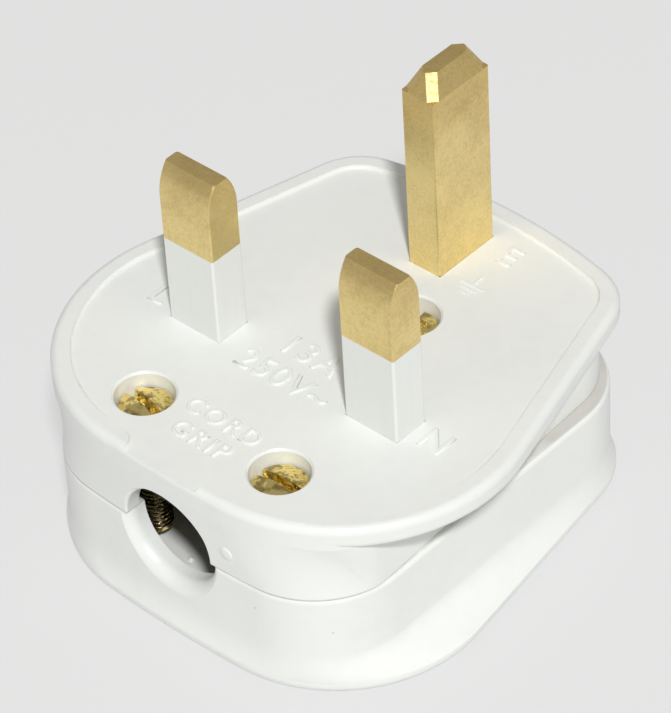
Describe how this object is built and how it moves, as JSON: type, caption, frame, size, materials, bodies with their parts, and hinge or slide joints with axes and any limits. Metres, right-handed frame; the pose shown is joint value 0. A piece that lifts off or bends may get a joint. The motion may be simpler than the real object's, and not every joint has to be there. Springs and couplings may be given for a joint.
{
  "type": "uk three pin plug",
  "caption": "Rewireable British pattern mains plug in white plastic, with sleeved brass pins, a fuse, a cord grip and a screwed back cover.",
  "frame": {"origin": "on the flat back, under the midpoint between the live and neutral pins", "axes": "+X to the neutral pin, +Y to the earth pin, +Z from the flat back to the pin tips"},
  "size_m": [0.0492, 0.0493, 0.0432],
  "materials": {
    "housing": "glossy moulded white plastic",
    "sleeve": "satin moulded white plastic",
    "pin_brass": "lightly brushed and slightly tarnished brass",
    "screw_brass": "bright turned brass",
    "clip_brass": "bright sheet brass",
    "fuse_ceramic": "matte ceramic",
    "fuse_cap": "plated metal",
    "washer_fibre": "red-brown vulcanised fibre",
    "grip_fibre": "dark brown vulcanised fibre"
  },
  "bodies": {
    "root": {"base": "housing", "cover": "housing", "earth_pin": "pin_brass", "neutral_pin": "pin_brass", "live_pin": "pin_brass", "neutral_pin_sleeve": "sleeve", "live_pin_sleeve": "sleeve", "live_terminal": "pin_brass", "terminal_screws": "screw_brass", "live_pin_fuse_clip": "clip_brass", "terminal_fuse_clip": "clip_brass", "clip_rivets": "clip_brass", "fuse_body": "fuse_ceramic", "fuse_end_caps": "fuse_cap", "cord_grip_bar": "grip_fibre", "cord_grip_nuts": "screw_brass", "cord_grip_screws": "screw_brass", "cover_screw": "screw_brass", "cover_screw_washer": "washer_fibre", "cover_nut": "screw_brass"}
  },
  "joints": []
}
